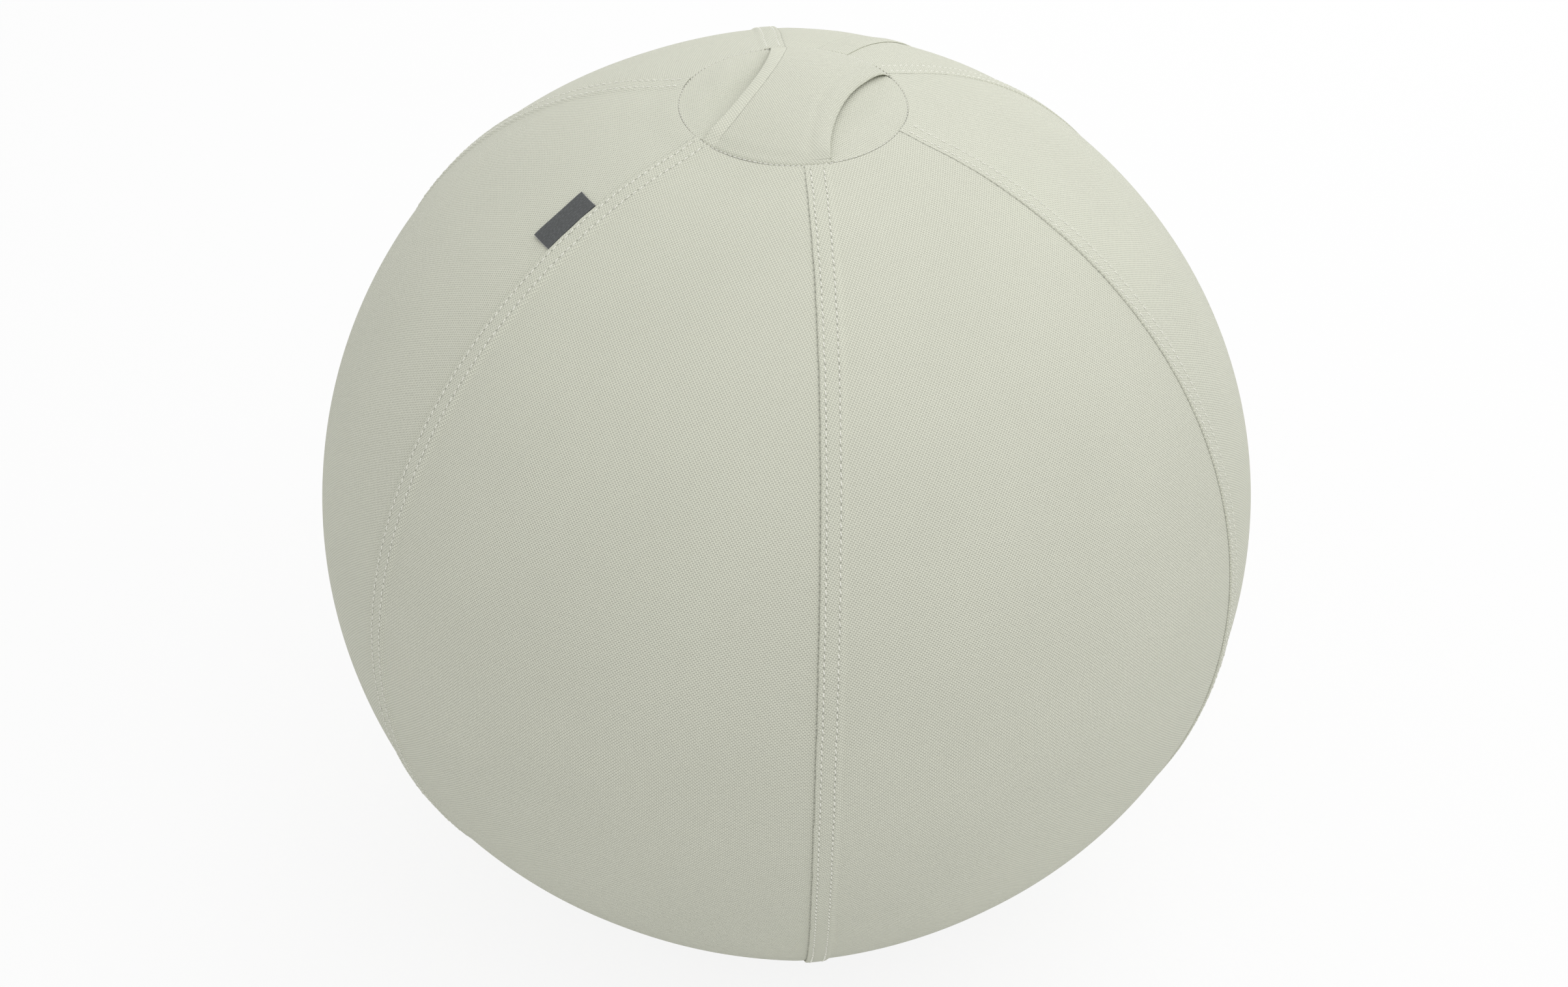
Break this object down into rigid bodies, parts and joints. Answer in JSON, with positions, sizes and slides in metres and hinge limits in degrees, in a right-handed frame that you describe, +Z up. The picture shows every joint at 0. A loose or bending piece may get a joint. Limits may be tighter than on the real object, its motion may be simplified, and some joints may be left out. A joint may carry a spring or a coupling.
{
  "type": "sitting ball",
  "caption": "Inflated sitting ball in a woven panelled cover with lapped seams, a crown cap, a carrying strap, a zip under a flap and a weighted flat foot.",
  "frame": {"origin": "on the floor, at the middle of the flat foot", "axes": "+Z up through the middle of the crown cap; the carrying strap runs near Y and the zip faces +Y"},
  "size_m": [0.658, 0.649, 0.6405],
  "materials": {
    "cover": "woven",
    "strap": "woven",
    "label": "woven",
    "base": "coated weave",
    "pad": "plain weave",
    "lining": "plain weave",
    "bladder": "matt",
    "plug": "moulded",
    "tape": "woven",
    "teeth": "moulded",
    "metal": "satin"
  },
  "bodies": {
    "cover": {"gore_front": "cover", "gore_front_right": "cover", "gore_back_right": "cover", "gore_zip_right": "cover", "gore_zip_left": "cover", "gore_back_left": "cover", "gore_front_left": "cover", "crown_cap": "cover", "handle_strap": "strap", "loop_label": "label", "base_panel": "base", "ballast_pad": "pad", "base_lining": "lining", "bladder": "bladder", "valve_plug": "plug", "zip_tape_right": "tape", "zip_tape_left": "tape", "zip_teeth_right": "teeth", "zip_teeth_left": "teeth", "zip_top_stops": "metal", "zip_bottom_stop": "metal", "zip_flap": "cover"},
    "slider": {"zip_slider": "metal"},
    "pull": {"zip_pull": "metal"}
  },
  "joints": [
    {"name": "zip_slide", "type": "hinge", "parent": "cover", "child": "slider", "pos_m": [0, 0, 0.30713], "axis": [1, 0, 0], "range_deg": [0, 90], "deforming": ["zip_flap"]},
    {"name": "pull_swing", "type": "hinge", "parent": "slider", "child": "pull", "pos_m": [-0.003, 0.29526, 0.16737], "axis": [1, 0, 0], "range_deg": [-20, 120]}
  ]
}
